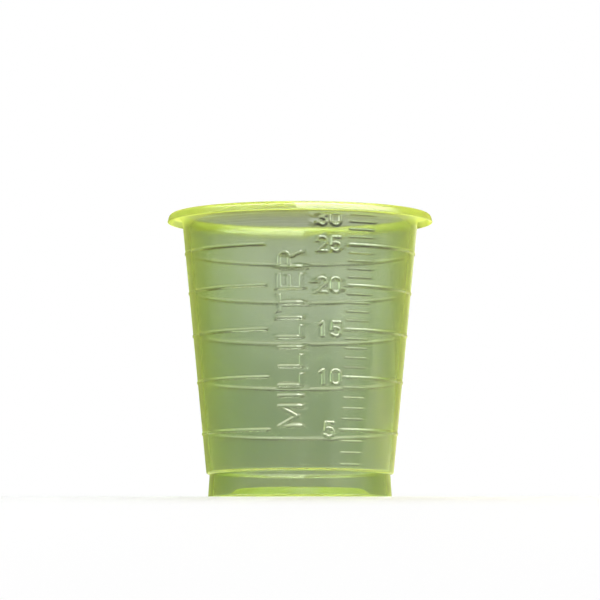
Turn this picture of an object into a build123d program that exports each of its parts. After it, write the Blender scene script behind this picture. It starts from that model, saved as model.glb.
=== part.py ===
from build123d import *
import os
from math import atan2, cos, degrees, pi, radians, tan

# A 30 ml graduated medicine cup, moulded in one piece. Sizes are in millimetres.
# The origin is the middle of the base, +Z is up, and the front of the scale faces -Y.
# Angles round the cup are in degrees from the front, positive towards +X.

# The cup, and the lean of its wall in degrees
CUP_HEIGHT = 42.6
WALL = 0.4
WALL_LEAN = 5.55

# The foot is a little narrower at its waist, and the wall steps out over it to stack on
FOOT_DIAMETER = 27.35
FOOT_HEIGHT = 3.8
WAIST_INSET = 0.25
STEP_WIDTH = 0.475
FOOT_ROUND = 0.3
WAIST_ROUND = 0.1
STEP_ROUND = 0.3

# The floor: a flat ring to stand on, then a slope up to the raised middle
STANDING_RING = 3.0
SLOPE_WIDTH = 1.4
SLOPE_HEIGHT = 1.2
SLOPE_BASE_ROUND = 0.5
SLOPE_TOP_ROUND = 0.9

# The rim: the wall curves out into a flat flange, and a short lip hangs from its shoulder
FLANGE_FILLET = 1.2
FLANGE_FLAT = 0.16
SHOULDER_ROUND = 0.35
LIP_HEIGHT = 0.95
LIP_FLARE = 0.25

# The scale, raised on the outside of the wall
RELIEF = 0.12
CAPACITY_ML = 30
FIRST_MARK_ML = 2
RING_STEP_ML = 5
MARK_HEIGHT = 0.38
MARK_FROM = 25.0
MARK_TO = 38.2
RING_HEIGHT = 0.5
RING_TO = 341.5

# The numbers, each level with its own mark
NUMBER_OFFSET = 4.2
NUMBER_TOP_GAP = 0.6
DIGIT_HEIGHT = 2.45
DIGIT_WIDTH = 1.65
DIGIT_PITCH = 2.0
DIGIT_STROKE = 0.4

# The unit's name, which reads upwards
UNIT = "MILLILITER"
UNIT_OFFSET = -1.45
UNIT_BOTTOM = 9.95
CAP_HEIGHT = 3.65
LETTER_STROKE = 0.5

# Each letter's room before it, its width and the room after it
STEM_ROOM = 0.5
OPEN_ROOM = 0.2
BAR_ROOM = 0.05
LETTERS = {
    "M": (STEM_ROOM, 3.4, STEM_ROOM),
    "I": (STEM_ROOM, 0.5, STEM_ROOM),
    "L": (STEM_ROOM, 2.05, OPEN_ROOM),
    "T": (BAR_ROOM, 2.75, BAR_ROOM),
    "E": (STEM_ROOM, 2.35, OPEN_ROOM),
    "R": (STEM_ROOM, 2.6, OPEN_ROOM),
}

MM3_PER_ML = 1000

foot_radius = FOOT_DIAMETER / 2
waist_radius = foot_radius - WAIST_INSET
slope_base_radius = foot_radius - STANDING_RING
slope_top_radius = slope_base_radius - SLOPE_WIDTH
flange_under = CUP_HEIGHT - WALL
lip_slope = degrees(atan2(LIP_HEIGHT, LIP_FLARE))


def wall_radius(z):
    """The outside of the wall at a height."""
    return waist_radius + STEP_WIDTH + (z - FOOT_HEIGHT) * tan(radians(WALL_LEAN))


def inner_radius(z):
    """The inside of the wall at a height."""
    return wall_radius(z) - WALL / cos(radians(WALL_LEAN))


def rounding_room(radius, turn):
    """The length that a rounded corner takes from each of its two sides."""
    return radius * tan(radians(turn / 2))


def frustum_volume(height, radius_a, radius_b):
    return pi * height / 3 * (radius_a**2 + radius_a * radius_b + radius_b**2)


def level(ml):
    """The height of the surface when the cup holds this much. It lies in the cone of the wall."""
    lean = tan(radians(WALL_LEAN))
    ledge = FOOT_HEIGHT + WALL
    foot = frustum_volume(FOOT_HEIGHT, foot_radius - WALL, waist_radius - WALL)
    raised_floor = frustum_volume(SLOPE_HEIGHT, slope_base_radius, slope_top_radius)
    in_cone = ml * MM3_PER_ML - foot + raised_floor
    surface_radius = (inner_radius(ledge) ** 3 + 3 * lean * in_cone / pi) ** (1 / 3)
    return ledge + (surface_radius - inner_radius(ledge)) / lean


def marked_levels():
    """The millilitres whose mark fits on the wall, between the step and the rim."""
    lowest = FOOT_HEIGHT + STEP_ROUND + MARK_HEIGHT / 2
    highest = flange_under - FLANGE_FILLET
    return [ml for ml in range(FIRST_MARK_ML, CAPACITY_ML + 1) if lowest < level(ml) < highest]


def plain_cup():
    """The cup without its scale: one wall thickness, from the middle of the floor to the lip."""
    flange_from = wall_radius(flange_under) + rounding_room(FLANGE_FILLET, 90 - WALL_LEAN)
    shoulder = flange_from + FLANGE_FLAT + rounding_room(SHOULDER_ROUND, lip_slope)
    corners = {
        (slope_top_radius, SLOPE_HEIGHT): SLOPE_TOP_ROUND,
        (slope_base_radius, 0): SLOPE_BASE_ROUND,
        (foot_radius, 0): FOOT_ROUND,
        (waist_radius, FOOT_HEIGHT): WAIST_ROUND,
        (wall_radius(FOOT_HEIGHT), FOOT_HEIGHT): STEP_ROUND,
        (wall_radius(flange_under), flange_under): FLANGE_FILLET,
        (shoulder, flange_under): SHOULDER_ROUND,
    }
    middle = (0, SLOPE_HEIGHT)
    lip_edge = (shoulder + LIP_FLARE, flange_under - LIP_HEIGHT)
    under_side = FilletPolyline(middle, *corners, lip_edge, radius=list(corners.values()))
    section = make_face(offset(under_side, WALL, side=Side.LEFT))
    return revolve(Plane.XZ * section, Axis.Z)


def over_wall(low, high):
    """The section of a raised layer on the wall, rooted half a wall deep, between two heights."""
    return Plane.XZ * make_face(
        Polyline(
            (wall_radius(low) - WALL / 2, low),
            (wall_radius(low) + RELIEF, low),
            (wall_radius(high) + RELIEF, high),
            (wall_radius(high) - WALL / 2, high),
            close=True,
        )
    )


def band(ml, height, angle_to):
    """A raised line at a level, from where the marks begin to an angle."""
    section = over_wall(level(ml) - height / 2, level(ml) + height / 2)
    front = -90
    return Rot(0, 0, front + MARK_FROM) * revolve(section, Axis.Z, angle_to - MARK_FROM)


def arc(centre_x, centre_y, radius, start, turn):
    return CenterArc((centre_x, centre_y), radius, start, turn)


def digit_lines(digit, width, height):
    """The centre lines of a plain digit in a box of this size."""
    half = width / 2
    if digit == "0":
        left = arc(half, height - half, half, 90, 90) + Line((0, height - half), (0, half))
        left += arc(half, half, half, 180, 90)
        return [left, mirror(left, Plane.YZ.offset(half))]
    if digit == "1":
        stem = width * 0.6
        return [Polyline((width * 0.2, height * 0.8), (stem, height), (stem, 0))]
    if digit == "2":
        bowl = arc(half, height - half, half, 180, -225)
        return [bowl, Polyline(bowl @ 1, (0, 0), (width, 0))]
    if digit == "3":
        bowl = height / 4
        upper = arc(half, height - bowl, bowl, 160, -250)
        return [upper, arc(half, bowl, bowl, 90, -250)]
    bowl = arc(half, half, half, 150, -300)
    return [Polyline((width, height), (width * 0.15, height), bowl @ 0), bowl]


def letter_lines(letter, width, height):
    """The centre lines of a plain capital in a box of this size."""
    stem = Line((0, 0), (0, height))
    middle = height * 0.55
    if letter == "I":
        return [stem]
    if letter == "L":
        return [Polyline((0, height), (0, 0), (width, 0))]
    if letter == "T":
        return [Line((0, height), (width, height)), Line((width / 2, height), (width / 2, 0))]
    if letter == "E":
        arms = Polyline((width, height), (0, height), (0, 0), (width, 0))
        return [arms, Line((0, middle), (width * 0.9, middle))]
    if letter == "M":
        valley = (width / 2, height * 0.2)
        return [Polyline((0, 0), (0, height), valley), Polyline(valley, (width, height), (width, 0))]
    bowl = (height - middle) / 2
    turn = arc(width - bowl, height - bowl, bowl, 90, -180)
    head = Line((0, height), turn @ 0) + turn + Line(turn @ 1, (0, middle))
    return [stem, head, Line((width - bowl, middle), (width, 0))]


def engraved(lines, stroke):
    """What a round cutter of this width leaves along the lines."""
    return Sketch() + [SlotArc(Wire(line.edges()), stroke) for line in lines]


def number(ml):
    """A number level with its mark, or just under the rim where that is too high."""
    text = str(ml)
    width = DIGIT_WIDTH - DIGIT_STROKE
    height = DIGIT_HEIGHT - DIGIT_STROKE
    left = -((len(text) - 1) * DIGIT_PITCH + width) / 2
    digits = Sketch()
    for place, digit in enumerate(text):
        outline = engraved(digit_lines(digit, width, height), DIGIT_STROKE)
        digits += Pos(left + place * DIGIT_PITCH) * outline
    highest = flange_under - NUMBER_TOP_GAP - DIGIT_HEIGHT / 2
    return Pos(NUMBER_OFFSET, min(level(ml), highest) - height / 2) * digits


def unit_name():
    """The unit's name, its letters lying on their sides with their feet to the right."""
    height = CAP_HEIGHT - LETTER_STROKE
    name = Sketch()
    along = UNIT_BOTTOM - STEM_ROOM
    for letter in UNIT:
        before, width, after = LETTERS[letter]
        lines = letter_lines(letter, width - LETTER_STROKE, height)
        name += Pos(along + before + LETTER_STROKE / 2) * engraved(lines, LETTER_STROKE)
        along += before + width + after
    return Pos(UNIT_OFFSET + height / 2) * Rot(0, 0, 90) * name


def raised(sketch):
    """A sketch on the front of the cup, standing out of the wall by the height of the relief."""
    layer = revolve(over_wall(FOOT_HEIGHT, flange_under), Axis.Z)
    return extrude(Plane.XZ * sketch, wall_radius(CUP_HEIGHT)) & layer


def medicine_cup():
    levels = marked_levels()
    rings = [ml for ml in levels if ml % RING_STEP_ML == 0]
    numbers = Sketch() + [number(ml) for ml in range(RING_STEP_ML, CAPACITY_ML + 1, RING_STEP_ML)]
    relief = [band(ml, RING_HEIGHT, RING_TO) for ml in rings]
    relief += [band(ml, MARK_HEIGHT, MARK_TO) for ml in levels if ml not in rings]
    return plain_cup() + relief + [raised(numbers), raised(unit_name())]


os.makedirs("parts", exist_ok=True)
export_step(medicine_cup(), "parts/medicine_cup.step")
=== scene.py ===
from math import ceil, cos, pi, radians, sin, tan

import bmesh
import bpy
import numpy as np
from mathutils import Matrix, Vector


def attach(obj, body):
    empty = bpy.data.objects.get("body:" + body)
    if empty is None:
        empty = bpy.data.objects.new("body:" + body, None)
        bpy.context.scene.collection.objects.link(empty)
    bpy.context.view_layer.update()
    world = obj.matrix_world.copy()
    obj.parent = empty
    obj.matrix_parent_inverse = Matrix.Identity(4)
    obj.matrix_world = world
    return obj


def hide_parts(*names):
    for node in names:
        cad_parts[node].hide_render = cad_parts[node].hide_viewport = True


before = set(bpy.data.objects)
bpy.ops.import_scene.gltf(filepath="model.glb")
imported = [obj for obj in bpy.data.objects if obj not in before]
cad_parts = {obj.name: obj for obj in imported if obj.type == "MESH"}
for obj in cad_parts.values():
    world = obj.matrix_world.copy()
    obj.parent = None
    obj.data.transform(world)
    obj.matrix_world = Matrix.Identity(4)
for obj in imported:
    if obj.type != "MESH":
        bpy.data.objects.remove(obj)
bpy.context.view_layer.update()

scene = bpy.context.scene
scene.view_settings.view_transform = "Standard"
MM = 0.001


# The camera stands a little under the table's height and looks up at the cup, from the front of
# its scale. It is far away with a long lens, as for a catalogue picture.
camera_place = Vector((0, -592, -20)) * MM
camera_aim = Vector((0, 0, 29.8)) * MM
bpy.ops.object.camera_add(location=camera_place)
camera = bpy.context.object
camera.rotation_euler = (camera_aim - camera_place).to_track_quat("-Z", "Y").to_euler()
camera.data.lens = 239
camera.data.sensor_width = 36
camera.data.clip_start = 0.01
camera.data.dof.use_dof = False
scene.camera = camera


# The backdrop is a white studio cove, and the camera sees it white. The cup shows and mirrors more
# of the room: a cloth behind it that darkens upwards and to the sides, a dim front with a warm and
# a pale panel, and a bright card overhead. All that lights the cup from here is a soft, even fill.
def linear(hex_colour):
    """The linear colour of an sRGB hex value."""
    channels = [int(hex_colour[i:i + 2], 16) / 255 for i in (1, 3, 5)]
    return tuple(c / 12.92 if c <= 0.04045 else ((c + 0.055) / 1.055) ** 2.4 for c in channels) + (1,)


def add_node(tree, kind, settings=None, stops=(), **links):
    """Adds a node with its settings and links. A setting names a property of the node, or else an
    input by name or number, and the stops are the places and colours of a soft colour ramp."""
    node = tree.nodes.new(kind)
    for name, value in (settings or {}).items():
        if isinstance(name, str) and hasattr(node, name):
            setattr(node, name, value)
        else:
            node.inputs[name].default_value = value
    if stops:
        node.color_ramp.interpolation = "EASE"
        for position, colour in stops:
            node.color_ramp.elements.new(position).color = linear(colour)
        node.color_ramp.elements.remove(node.color_ramp.elements[0])
        node.color_ramp.elements.remove(node.color_ramp.elements[-1])
    for name, source in links.items():
        socket = int(name[1:]) if name[1:].isdigit() else name.replace("_", " ")
        tree.links.new(source, node.inputs[socket])
    return node


def seen_directly(tree):
    """1 for what the camera sees straight, in a reflection or through the plastic, and 0 for light."""
    path = add_node(tree, "ShaderNodeLightPath")
    either = add_node(tree, "ShaderNodeMath", {"operation": "MAXIMUM"},
                      _0=path.outputs["Is Camera Ray"], _1=path.outputs["Is Glossy Ray"])
    return add_node(tree, "ShaderNodeMath", {"operation": "MAXIMUM"},
                    _0=either.outputs[0], _1=path.outputs["Is Transmission Ray"]).outputs[0]


cloth_strength = 3.2
panel_strength = 4
card_strength = 11
through_strength = 0.45
fill_strength = 0.3

world = bpy.data.worlds.new("white_cove")
scene.world = world
world.use_nodes = True
tree = world.node_tree
tree.nodes.clear()
path = add_node(tree, "ShaderNodeLightPath")
direction = add_node(tree, "ShaderNodeTexCoord")
way = add_node(tree, "ShaderNodeSeparateXYZ", Vector=direction.outputs["Generated"])

# The cloth behind the cup: its colours by height, dimmed by how far they lie to the side
climb_of_view = add_node(tree, "ShaderNodeMapRange", {1: -0.5, 2: 0.5}, _0=way.outputs["Z"])
by_height = add_node(tree, "ShaderNodeValToRGB", _0=climb_of_view.outputs[0], stops=[
    (0.3, "#e8e8e8"), (0.46, "#ffffff"), (0.51, "#b8b4a4"), (0.537, "#b0ac9c"), (0.5415, "#929f8d"),
    (0.55, "#92a08e"), (0.565, "#a4ada0"), (0.585, "#cccdd0"), (0.6, "#d0d2cc"), (0.6044, "#888c6c"),
    (0.608, "#989878"), (0.64, "#606058"), (0.7, "#303030"), (0.95, "#202020")])
left_to_right = add_node(tree, "ShaderNodeMapRange", {1: -0.5, 2: 0.5}, _0=way.outputs["X"])
by_side = add_node(tree, "ShaderNodeValToRGB", _0=left_to_right.outputs[0], stops=[
    (0.02, "#484848"), (0.1, "#707070"), (0.24, "#e0e0e0"), (0.4, "#888888"), (0.465, "#989898"),
    (0.535, "#989898"), (0.6, "#888888"), (0.76, "#ffffff"), (0.9, "#808078"), (0.98, "#808078")])
cloth = add_node(tree, "ShaderNodeMix", {"data_type": "RGBA", "blend_type": "MULTIPLY", 0: 1.0},
                 _6=by_height.outputs["Color"], _7=by_side.outputs["Color"])
back = add_node(tree, "ShaderNodeBackground", {"Strength": cloth_strength}, Color=cloth.outputs[2])

# The front of the room: its panels by the angle round from the front, and the card over them.
# What is seen of it through the plastic is plain, so that the cup looks clear from behind too.
forward = add_node(tree, "ShaderNodeMath", {"operation": "MULTIPLY", 1: -1}, _0=way.outputs["Y"])
round_from_front = add_node(tree, "ShaderNodeMath", {"operation": "ARCTAN2"},
                            _0=way.outputs["X"], _1=forward.outputs[0])
full_turn = add_node(tree, "ShaderNodeMapRange", {1: -pi, 2: pi}, _0=round_from_front.outputs[0])
panels = add_node(tree, "ShaderNodeValToRGB", _0=full_turn.outputs[0], stops=[
    (0.25, "#484848"), (0.3, "#404040"), (0.33, "#605c50"), (0.34, "#505048"), (0.36, "#c8a478"),
    (0.38, "#c8a478"), (0.41, "#484848"), (0.48, "#303030"), (0.58, "#303030"), (0.62, "#90908c"),
    (0.68, "#90908c"), (0.72, "#808078"), (0.8, "#a09878")])
mirrored = add_node(tree, "ShaderNodeBackground", {"Strength": panel_strength}, Color=panels.outputs["Color"])
through = add_node(tree, "ShaderNodeBackground", {"Color": linear("#ffffff"), "Strength": through_strength})
low_front = add_node(tree, "ShaderNodeMixShader",
                     _0=path.outputs["Is Transmission Ray"], _1=mirrored.outputs[0], _2=through.outputs[0])
card = add_node(tree, "ShaderNodeBackground", {"Color": linear("#ffffff"), "Strength": card_strength})
overhead = add_node(tree, "ShaderNodeMapRange", {1: 0.3, 2: 0.5}, _0=way.outputs["Z"])
front = add_node(tree, "ShaderNodeMixShader",
                 _0=overhead.outputs[0], _1=low_front.outputs[0], _2=card.outputs[0])

behind = add_node(tree, "ShaderNodeMapRange", {1: -0.1, 2: 0.3}, _0=way.outputs["Y"])
room = add_node(tree, "ShaderNodeMixShader", _0=behind.outputs[0], _1=front.outputs[0], _2=back.outputs[0])
fill = add_node(tree, "ShaderNodeBackground", {"Color": linear("#f4f6f5"), "Strength": fill_strength})
lit = add_node(tree, "ShaderNodeMixShader", _0=seen_directly(tree), _1=fill.outputs[0], _2=room.outputs[0])
white = add_node(tree, "ShaderNodeBackground", {"Color": linear("#ffffff"), "Strength": 1})
cove = add_node(tree, "ShaderNodeMixShader",
                _0=path.outputs["Is Camera Ray"], _1=lit.outputs[0], _2=white.outputs[0])
add_node(tree, "ShaderNodeOutputWorld", Surface=cove.outputs[0])


# The lamps are soft boxes: one over the camera, one high behind the cup, and a warm one at its
# right. The plastic mirrors only the one behind, as the others would cut across the room in it.
def softbox(name, place, aim, width, height, power, colour="#ffffff"):
    bpy.ops.object.light_add(type="AREA", location=Vector(place) * MM)
    lamp = bpy.context.object
    lamp.name = name
    lamp.rotation_euler = (Vector(aim) - Vector(place)).to_track_quat("-Z", "Y").to_euler()
    lamp.data.shape = "RECTANGLE"
    lamp.data.size = width * MM
    lamp.data.size_y = height * MM
    lamp.data.energy = power
    lamp.data.color = linear(colour)[:3]
    return lamp


key_lamp = softbox("key_softbox", (-60, -420, 220), (0, 0, 22), 420, 220, 1.1)
softbox("back_softbox", (-60, 220, 420), (0, 0, 0), 420, 200, 1.2)
side_lamp = softbox("right_softbox", (300, 60, 160), (0, 0, 30), 160, 200, 0.5, "#ffe2a0")
for lamp in (key_lamp, side_lamp):
    lamp.visible_glossy = False
    lamp.visible_transmission = False


# A dark card stands upright close to the left of the cup. Only the gloss of the wall shows it, and
# it keeps the white of the table out of that side.
card_place = (-34, -8, 22)
card_tall = 44
card_deep = 70
bpy.ops.object.select_all(action="DESELECT")
bpy.ops.mesh.primitive_plane_add(
    size=1, location=Vector(card_place) * MM, rotation=(0, radians(90), 0),
    scale=Vector((card_tall, card_deep, 1)) * MM)
dark_card = bpy.context.object
dark_card.name = "dark_card"
bpy.ops.object.transform_apply(location=True, rotation=True, scale=True)

black_card = bpy.data.materials.new("black_card")
black_card.use_nodes = True
tree = black_card.node_tree
tree.nodes.clear()
dull_board = add_node(tree, "ShaderNodeBsdfDiffuse", {"Color": linear("#303634")})
add_node(tree, "ShaderNodeOutputMaterial", Surface=dull_board.outputs[0])
dark_card.data.materials.append(black_card)
dark_card.visible_camera = False
dark_card.visible_diffuse = False
dark_card.visible_transmission = False
dark_card.visible_shadow = False


# The table is a white laminate top with a rounded front edge. The cup stands right behind that
# edge, which the camera sees from a little below.
table_front = -43.2
table_round = 29
table_round_steps = 60
table_width = 2400
table_depth = 1600
table_thick = 30
edge_tolerance = 1
bpy.ops.object.select_all(action="DESELECT")
bpy.ops.mesh.primitive_cube_add(
    size=1, location=Vector((0, table_front + table_depth / 2, -table_thick / 2)) * MM,
    scale=Vector((table_width, table_depth, table_thick)) * MM)
table = bpy.context.object
table.name = "table_top"
bpy.ops.object.transform_apply(location=True, rotation=True, scale=True)
bpy.ops.object.mode_set(mode="EDIT")
bpy.ops.mesh.select_mode(type="EDGE")
bpy.ops.mesh.select_all(action="DESELECT")
table_shape = bmesh.from_edit_mesh(table.data)
for edge in table_shape.edges:
    middle = (edge.verts[0].co + edge.verts[1].co) / 2 / MM
    edge.select = abs(middle.y - table_front) < edge_tolerance and abs(middle.z) < edge_tolerance
bmesh.update_edit_mesh(table.data)
bpy.ops.mesh.bevel(offset=table_round * MM, segments=table_round_steps, affect="EDGES")
bpy.ops.object.mode_set(mode="OBJECT")
bpy.ops.object.shade_smooth_by_angle(angle=radians(30))

# Pressed melamine laminate is matt and evenly white. The flat top takes the cup's shadow, and where
# its edge rounds away it is lifted to the white of the cove.
flat_top = 0.985
turned_edge = 0.95
glow_on_top = 0.1
glow_on_edge = 0.95
laminate = bpy.data.materials.new("white_laminate")
laminate.use_nodes = True
tree = laminate.node_tree
tree.nodes.clear()
matt = add_node(tree, "ShaderNodeBsdfPrincipled",
                {"Base Color": linear("#fafafc"), "Roughness": 0.6, "IOR": 1.45})
glow = add_node(tree, "ShaderNodeEmission", {"Color": linear("#ffffff"), "Strength": 1})
surface_way = add_node(tree, "ShaderNodeNewGeometry")
facing = add_node(tree, "ShaderNodeSeparateXYZ", Vector=surface_way.outputs["Normal"])
lifted = add_node(tree, "ShaderNodeMapRange", {1: flat_top, 2: turned_edge, 3: glow_on_top, 4: glow_on_edge},
                  _0=facing.outputs["Z"])
glow_share = add_node(tree, "ShaderNodeMath", {"operation": "MULTIPLY"},
                      _0=seen_directly(tree), _1=lifted.outputs[0])
top = add_node(tree, "ShaderNodeMixShader", _0=glow_share.outputs[0], _1=matt.outputs[0], _2=glow.outputs[0])
add_node(tree, "ShaderNodeOutputMaterial", Surface=top.outputs[0])
table.data.materials.append(laminate)


# The cup is one thin-walled injection moulding in translucent polypropylene, and every size here
# is the real one in millimetres. Its wall leans out from a stepped foot to a turned-down rim.
cup_height = 42.6
wall = 0.4
wall_lean = 5.55
foot_radius = 27.35 / 2
foot_height = 3.8
waist_inset = 0.25
step_width = 0.475
standing_ring = 3.0
slope_width = 1.4
slope_height = 1.2
flange_reach = 1.52
lip_height = 0.95
lip_flare = 0.25
slope_top_round = 0.9
slope_base_round = 0.5
foot_round = 0.3
waist_round = 0.1
step_round = 0.3
flange_fillet = 1.2
shoulder_round = 0.35
lip_round = 0.12
least_round = 0.1
flange_under = cup_height - wall
waist_radius = foot_radius - waist_inset


def wall_radius(z):
    """The outside of the wall at a height."""
    return waist_radius + step_width + (z - foot_height) * tan(radians(wall_lean))


# The under side of the moulding, from the middle of the floor to the lip: radius, height and
# rounding of each corner
slope_base = foot_radius - standing_ring
slope_top = slope_base - slope_width
shoulder = wall_radius(flange_under) + flange_reach
under_side = [
    (0, slope_height, 0),
    (slope_top, slope_height, slope_top_round),
    (slope_base, 0, slope_base_round),
    (foot_radius, 0, foot_round),
    (waist_radius, foot_height, waist_round),
    (wall_radius(foot_height), foot_height, step_round),
    (wall_radius(flange_under), flange_under, flange_fillet),
    (shoulder, flange_under, shoulder_round),
    (shoulder + lip_flare, flange_under - lip_height, lip_round),
]


def wall_apart(corners, apart):
    """The same line, one wall thickness further in, with its corners rounded to suit."""
    moved = []
    for number, (r, z, rounding) in enumerate(corners):
        before = Vector(corners[max(number - 1, 0)][:2])
        here = Vector((r, z))
        after = Vector(corners[min(number + 1, len(corners) - 1)][:2])
        into = (here - before if number else after - here).normalized()
        out = (after - here if number < len(corners) - 1 else here - before).normalized()
        left_of_into = Vector((-into.y, into.x))
        left_of_out = Vector((-out.y, out.x))
        miter = (left_of_into + left_of_out).normalized()
        place = here + miter * apart / miter.dot(left_of_into)
        turns_right = into.cross(out) < 0
        fitted = rounding + apart if turns_right else max(rounding - apart, least_round)
        moved.append((place.x, place.y, fitted))
    return moved


arc_step = 11


def rounded(corners):
    """The points of a line through the corners, each drawn as an arc of its own radius."""
    points = [Vector(corners[0][:2])]
    for before, (r, z, rounding), after in zip(corners, corners[1:], corners[2:]):
        here = Vector((r, z))
        back = (Vector(before[:2]) - here).normalized()
        on = (Vector(after[:2]) - here).normalized()
        half_angle = back.angle(on) / 2
        centre = here + (back + on).normalized() * rounding / sin(half_angle)
        start = here + back * rounding / tan(half_angle) - centre
        end = here + on * rounding / tan(half_angle) - centre
        turn = start.angle_signed(end)
        steps = max(2, ceil(abs(turn) / radians(arc_step)))
        for step in range(steps + 1):
            angle = -turn * step / steps
            points.append(centre + Vector((
                start.x * cos(angle) - start.y * sin(angle),
                start.x * sin(angle) + start.y * cos(angle))))
    points.append(Vector(corners[-1][:2]))
    return points


end_hold = 0.15
shortest_run = 0.6


def with_held_ends(points):
    """The same line with a point near each end of its straight runs, so that they shade flat."""
    held = points[:1]
    for start, end in zip(points, points[1:]):
        run = end - start
        if run.length > shortest_run:
            held += [start + run.normalized() * end_hold, end - run.normalized() * end_hold]
        held.append(end)
    return held


upper_side = wall_apart(under_side, wall)
upper_side[-1] = upper_side[-1][:2] + (lip_round,)
section = with_held_ends(rounded(under_side + upper_side[::-1]))


# The scale is cut into the mould, so it stands out of the wall by a tenth of a millimetre, with
# rounded edges. A ring at every fifth millilitre runs round the back, and short marks lie between.
first_mark = 2
last_mark = 29
capacity = 30
ring_step = 5
mark_from = 25.0
mark_to = 38.2
ring_to = 341.5
mark_half = 0.18
ring_half = 0.3
mark_relief = 0.04
ring_relief = 0.11
mm3_per_ml = 1000


def frustum_volume(height, radius_a, radius_b):
    return pi * height / 3 * (radius_a**2 + radius_a * radius_b + radius_b**2)


def level(ml):
    """The height of the surface when the cup holds this much. It lies in the cone of the wall."""
    lean = tan(radians(wall_lean))
    ledge = foot_height + wall
    ledge_radius = wall_radius(ledge) - wall / cos(radians(wall_lean))
    foot = frustum_volume(foot_height, foot_radius - wall, waist_radius - wall)
    raised_floor = frustum_volume(slope_height, slope_base, slope_top)
    in_cone = ml * mm3_per_ml - foot + raised_floor
    return ledge + ((ledge_radius**3 + 3 * lean * in_cone / pi) ** (1 / 3) - ledge_radius) / lean


ring_levels = [level(ml) for ml in range(ring_step, last_mark, ring_step)]
mark_levels = [level(ml) for ml in range(first_mark, last_mark + 1) if ml % ring_step]

# Rows of the mesh on the wall: close together on the rings, and a third of a millimetre elsewhere
row_apart = 0.33
ring_row_apart = 0.06
ring_rows_each_way = 6
rows = set()
for ring in ring_levels:
    rows.update(ring + ring_row_apart * step for step in range(-ring_rows_each_way, ring_rows_each_way + 1))
climb = next(i for i, (a, b) in enumerate(zip(section, section[1:])) if b.y - a.y > cup_height / 2)
low = section[climb].y
high = section[climb + 1].y
next_row = low + row_apart
while next_row < high - row_apart / 2:
    if all(abs(next_row - row) > row_apart / 2 for row in rows):
        rows.add(next_row)
    next_row += row_apart
section[climb + 1:climb + 1] = [Vector((wall_radius(z), z)) for z in sorted(rows)]

# The section is drawn point by point and spun round the middle, in narrow steps behind the
# letters and wider ones round the back
front_from = -14.0
front_to = 40.0
front_steps = 52
back_steps = 122
same_point = 0.002


def at(point, degrees_round):
    """A point of the section, at an angle from the front."""
    angle = radians(degrees_round)
    return Vector((point.x * sin(angle), -point.x * cos(angle), point.y)) * MM


bpy.ops.object.select_all(action="DESELECT")
bpy.ops.mesh.primitive_plane_add(size=MM, location=(0, 0, 0))
cup = bpy.context.object
cup.name = "cup_moulding"
bpy.ops.object.mode_set(mode="EDIT")
bpy.ops.mesh.select_mode(type="VERT")
bpy.ops.mesh.select_all(action="SELECT")
bpy.ops.mesh.merge(type="CENTER")
bpy.ops.transform.translate(value=at(section[0], front_from))
for before, here in zip(section, section[1:]):
    bpy.ops.mesh.extrude_region_move(
        TRANSFORM_OT_translate={"value": at(here, front_from) - at(before, front_from)})
bpy.ops.mesh.select_all(action="SELECT")
bpy.ops.mesh.spin(
    steps=front_steps, angle=radians(front_to - front_from), center=(0, 0, 0), axis=(0, 0, 1))
bpy.ops.mesh.spin(
    steps=back_steps, angle=radians(360 - front_to + front_from), center=(0, 0, 0), axis=(0, 0, 1))
bpy.ops.mesh.select_all(action="SELECT")
bpy.ops.mesh.remove_doubles(threshold=same_point * MM)
bpy.ops.mesh.normals_make_consistent(inside=False)


# The numbers and the unit's name are drawn with strokes of one width, as a round cutter leaves
# them in the mould. Each stroke is a line of points, across the front and up, in millimetres.
letter_relief = 0.12
digit_height = 2.45
digit_width = 1.65
digit_pitch = 2.0
digit_stroke = 0.4
number_offset = 4.2
number_top_gap = 0.6
unit = "MILLILITER"
unit_offset = -1.45
unit_bottom = 9.95
cap_height = 3.65
letter_stroke = 0.5
stem_room = 0.5
open_room = 0.2
bar_room = 0.05
letters = {
    "M": (stem_room, 3.4, stem_room),
    "I": (stem_room, 0.5, stem_room),
    "L": (stem_room, 2.05, open_room),
    "T": (bar_room, 2.75, bar_room),
    "E": (stem_room, 2.35, open_room),
    "R": (stem_room, 2.6, open_room),
}
stroke_arc_step = 15


def arc(centre_x, centre_y, radius, start, turn):
    steps = ceil(abs(turn) / stroke_arc_step)
    angles = [radians(start + turn * step / steps) for step in range(steps + 1)]
    return [(centre_x + radius * cos(angle), centre_y + radius * sin(angle)) for angle in angles]


def digit_lines(digit, width, height):
    """The centre lines of a plain digit in a box of this size."""
    half = width / 2
    if digit == "0":
        top = arc(half, height - half, half, 0, 180)
        return [top + arc(half, half, half, 180, 180) + top[:1]]
    if digit == "1":
        stem = width * 0.6
        return [[(width * 0.2, height * 0.8), (stem, height), (stem, 0)]]
    if digit == "2":
        return [arc(half, height - half, half, 180, -225) + [(0, 0), (width, 0)]]
    if digit == "3":
        bowl = height / 4
        return [arc(half, height - bowl, bowl, 160, -250), arc(half, bowl, bowl, 90, -250)]
    return [[(width, height), (width * 0.15, height)] + arc(half, half, half, 150, -300)]


def letter_lines(letter, width, height):
    """The centre lines of a plain capital in a box of this size."""
    stem = [(0, 0), (0, height)]
    middle = height * 0.55
    if letter == "I":
        return [stem]
    if letter == "L":
        return [[(0, height), (0, 0), (width, 0)]]
    if letter == "T":
        return [[(0, height), (width, height)], [(width / 2, height), (width / 2, 0)]]
    if letter == "E":
        return [[(width, height), (0, height), (0, 0), (width, 0)], [(0, middle), (width * 0.9, middle)]]
    if letter == "M":
        return [[(0, 0), (0, height), (width / 2, height * 0.2), (width, height), (width, 0)]]
    bowl = (height - middle) / 2
    head = [(0, height)] + arc(width - bowl, height - bowl, bowl, 90, -180) + [(0, middle)]
    return [stem, head, [(width - bowl, middle), (width, 0)]]


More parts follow.
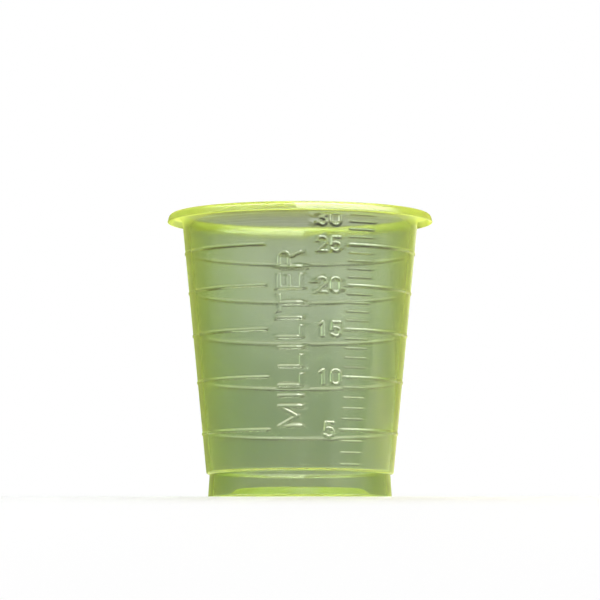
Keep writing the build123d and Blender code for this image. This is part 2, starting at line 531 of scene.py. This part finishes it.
def number_strokes():
    """Each number is level with its own mark, or just under the rim where that is too high."""
    strokes = []
    width = digit_width - digit_stroke
    height = digit_height - digit_stroke
    highest = flange_under - number_top_gap - digit_height / 2
    for ml in range(ring_step, capacity + 1, ring_step):
        text = str(ml)
        left = number_offset - ((len(text) - 1) * digit_pitch + width) / 2
        foot = min(level(ml), highest) - height / 2
        for place, digit in enumerate(text):
            for line in digit_lines(digit, width, height):
                strokes.append([(left + place * digit_pitch + x, foot + y) for x, y in line])
    return strokes


def unit_strokes():
    """The unit's name reads upwards: its letters lie on their sides, with their feet to the right."""
    strokes = []
    height = cap_height - letter_stroke
    along = unit_bottom - stem_room
    for letter in unit:
        before, width, after = letters[letter]
        start = along + before + letter_stroke / 2
        for line in letter_lines(letter, width - letter_stroke, height):
            strokes.append([(unit_offset + height / 2 - y, start + x) for x, y in line])
        along += before + width + after
    return strokes


# A stroke stands out evenly over a share of its half width and falls softly to its edge, which lies
# a little further out than the cutter's, as the plastic doesn't fill a sharp corner
edge_spread = 1.35
flat_share = 0.25
far_away = 99.0
wall_tolerance = 0.05
end_tolerance = 0.01
fine_reach = 0.45
fine_cuts = 4


def distance_to(strokes, x, z):
    """How far each point is from the nearest stroke."""
    nearest = np.full(len(x), far_away)
    for line in strokes:
        for (x0, z0), (x1, z1) in zip(line, line[1:]):
            length_squared = (x1 - x0) ** 2 + (z1 - z0) ** 2
            along = np.clip(((x - x0) * (x1 - x0) + (z - z0) * (z1 - z0)) / length_squared, 0, 1)
            nearest = np.minimum(nearest, np.hypot(x - x0 - along * (x1 - x0), z - z0 - along * (z1 - z0)))
    return nearest


def distance_to_band(levels, degrees_from, degrees_to, degrees_round, radius, z):
    """How far each point is from a line round the cup that lies between two angles."""
    middle = (degrees_from + degrees_to) / 2
    half_turn = (degrees_to - degrees_from) / 2
    off = np.abs((degrees_round - middle + 180) % 360 - 180)
    beyond = np.radians(np.maximum(off - half_turn, 0)) * radius
    up = np.min([np.abs(z - height) for height in levels], axis=0)
    return np.hypot(beyond, up)


def rounded_edge(share):
    """1 on the flat top of a stroke, falling to 0 at its edge, where the share of its width is 1."""
    inside = np.clip((1 - share) / (1 - flat_share), 0, 1)
    return inside * inside * (3 - 2 * inside)


def raised_by(x, y, z):
    """How far the scale stands out of the wall at each point."""
    degrees_round = np.degrees(np.arctan2(x, -y))
    radius = np.hypot(x, y)
    front = np.where(y < 0, x, far_away)
    near_digits = distance_to(number_strokes(), front, z) / (digit_stroke / 2 * edge_spread)
    near_letters = distance_to(unit_strokes(), front, z) / (letter_stroke / 2 * edge_spread)
    near_marks = distance_to_band(mark_levels, mark_from, mark_to, degrees_round, radius, z) / mark_half
    near_rings = distance_to_band(ring_levels, mark_from, ring_to, degrees_round, radius, z) / ring_half
    return np.max([
        letter_relief * rounded_edge(near_digits),
        letter_relief * rounded_edge(near_letters),
        mark_relief * rounded_edge(near_marks),
        ring_relief * rounded_edge(near_rings),
    ], axis=0)


# The faces near the strokes are divided further, so that the letters come out smooth
cup_shape = bmesh.from_edit_mesh(cup.data)
cup_shape.faces.ensure_lookup_table()
bpy.ops.mesh.select_mode(type="FACE")
bpy.ops.mesh.select_all(action="DESELECT")
centres = np.array([face.calc_center_median() for face in cup_shape.faces]) / MM
off_wall = np.abs(np.hypot(centres[:, 0], centres[:, 1]) - wall_radius(centres[:, 2]))
centre_angles = np.degrees(np.arctan2(centres[:, 0], -centres[:, 1]))
behind_letters = (off_wall < wall_tolerance) & (centres[:, 2] > low) & (centres[:, 2] < high)
behind_letters &= (centre_angles > front_from) & (centre_angles < front_to)
x, y, z = centres[behind_letters].T
close = np.minimum(
    distance_to(number_strokes() + unit_strokes(), x, z),
    distance_to_band(mark_levels, mark_from, mark_to, centre_angles[behind_letters], np.hypot(x, y), z))
near = np.zeros(len(centres), bool)
near[behind_letters] = close < fine_reach
for face, chosen in zip(cup_shape.faces, near):
    face.select = bool(chosen)
bmesh.update_edit_mesh(cup.data)
bpy.ops.mesh.subdivide(number_cuts=fine_cuts, smoothness=0)
bpy.ops.object.mode_set(mode="OBJECT")

# Each point on the outside of the wall moves out to where the scale puts it
points = np.empty(len(cup.data.vertices) * 3)
cup.data.vertices.foreach_get("co", points)
points = points.reshape(-1, 3) / MM
x, y, z = points.T
radius = np.hypot(x, y)
on_wall = np.abs(radius - wall_radius(z)) < wall_tolerance
on_wall &= (z > low - end_tolerance) & (z < high + end_tolerance)
true_radius = wall_radius(z[on_wall]) + raised_by(x[on_wall], y[on_wall], z[on_wall])
points[on_wall, 0] *= true_radius / radius[on_wall]
points[on_wall, 1] *= true_radius / radius[on_wall]
cup.data.vertices.foreach_set("co", (points * MM).ravel())
cup.data.update()
bpy.ops.object.shade_smooth()


# Polypropylene with a yellow-green dye, moulded against a polished tool. The thin wall is nearly
# clear with a slight haze, and what little it scatters glows where the wall is seen edge on, and
# where the plastic is deep: in the rim and in the floor.
tool_mark_height = 0.4
tool_mark_depth = 0.003
tool_marks_per_metre_round = 60
flow_mark_size = 6
rim_haze_from = 40.2
rim_haze_to = 41.6
rim_haze = 0.4
floor_haze_radius = 11.6
floor_haze_from = 2.4
floor_haze_to = 1.7
floor_haze = 0.35
edge_on_power = 2.4
least_milk = 0.03
most_milk = 0.7
least_roughness = 0.045
most_roughness = 0.085

polypropylene = bpy.data.materials.new("dyed_polypropylene")
polypropylene.use_nodes = True
tree = polypropylene.node_tree
tree.nodes.clear()
dye = linear("#e4ea80")
lit_through = add_node(tree, "ShaderNodeBsdfTranslucent", {"Color": dye})
lit_on = add_node(tree, "ShaderNodeBsdfDiffuse", {"Color": dye})
milk = add_node(tree, "ShaderNodeMixShader", {0: 0.5}, _1=lit_on.outputs[0], _2=lit_through.outputs[0])
slant = add_node(tree, "ShaderNodeLayerWeight", {"Blend": 0.5})
tint = add_node(tree, "ShaderNodeMix", {"data_type": "RGBA", 6: linear("#e6eedf"), 7: linear("#a4cc58")},
                _0=slant.outputs["Facing"])

# Faint lathe lines from the tool run round the cup, drawn coarser than the real ones so that they
# show, and the plastic's flow makes its gloss uneven
place = add_node(tree, "ShaderNodeTexCoord")
mark_scale = (tool_marks_per_metre_round, tool_marks_per_metre_round, 1 / (tool_mark_height * MM))
lathe_lines = add_node(tree, "ShaderNodeMapping", {"Scale": mark_scale}, Vector=place.outputs["Object"])
tool_marks = add_node(tree, "ShaderNodeTexNoise", {"Scale": 1, "Detail": 2}, Vector=lathe_lines.outputs[0])
surface = add_node(tree, "ShaderNodeBump", {"Strength": 1, "Distance": tool_mark_depth * MM},
                   Height=tool_marks.outputs[0])
flow = add_node(tree, "ShaderNodeTexNoise", {"Scale": 1 / (flow_mark_size * MM), "Detail": 3},
                Vector=place.outputs["Object"])
sheen = add_node(tree, "ShaderNodeMapRange", {1: 0.3, 2: 0.7, 3: least_roughness, 4: most_roughness},
                 _0=flow.outputs[0])
clear = add_node(tree, "ShaderNodeBsdfPrincipled", {"IOR": 1.49, "Transmission Weight": 1.0},
                 Base_Color=tint.outputs[2], Roughness=sheen.outputs[0], Normal=surface.outputs[0])

# The share of milk in each place
steep = add_node(tree, "ShaderNodeMath", {"operation": "POWER", 1: edge_on_power}, _0=slant.outputs["Facing"])
parts = add_node(tree, "ShaderNodeSeparateXYZ", Vector=place.outputs["Object"])
in_rim = add_node(tree, "ShaderNodeMapRange",
                  {1: rim_haze_from * MM, 2: rim_haze_to * MM, 3: 0, 4: rim_haze}, _0=parts.outputs["Z"])
flattened = add_node(tree, "ShaderNodeVectorMath", {"operation": "MULTIPLY", 1: (1, 1, 0)},
                     _0=place.outputs["Object"])
across = add_node(tree, "ShaderNodeVectorMath", {"operation": "LENGTH"}, _0=flattened.outputs[0])
inside_foot = add_node(tree, "ShaderNodeMath", {"operation": "LESS_THAN", 1: floor_haze_radius * MM},
                       _0=across.outputs["Value"])
low_down = add_node(tree, "ShaderNodeMapRange",
                    {1: floor_haze_from * MM, 2: floor_haze_to * MM, 3: 0, 4: floor_haze},
                    _0=parts.outputs["Z"])
in_floor = add_node(tree, "ShaderNodeMath", {"operation": "MULTIPLY"},
                    _0=inside_foot.outputs[0], _1=low_down.outputs[0])
deep = add_node(tree, "ShaderNodeMath", {"operation": "ADD"}, _0=in_floor.outputs[0], _1=in_rim.outputs[0])
grown = add_node(tree, "ShaderNodeMath", {"operation": "ADD"}, _0=steep.outputs[0], _1=deep.outputs[0])
milk_share = add_node(tree, "ShaderNodeMapRange", {3: least_milk, 4: most_milk}, _0=grown.outputs[0])
hazy = add_node(tree, "ShaderNodeMixShader",
                _0=milk_share.outputs[0], _1=clear.outputs[0], _2=milk.outputs[0])
add_node(tree, "ShaderNodeOutputMaterial", Surface=hazy.outputs[0])
cup.data.materials.append(polypropylene)
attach(cup, "root")
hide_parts("medicine_cup")
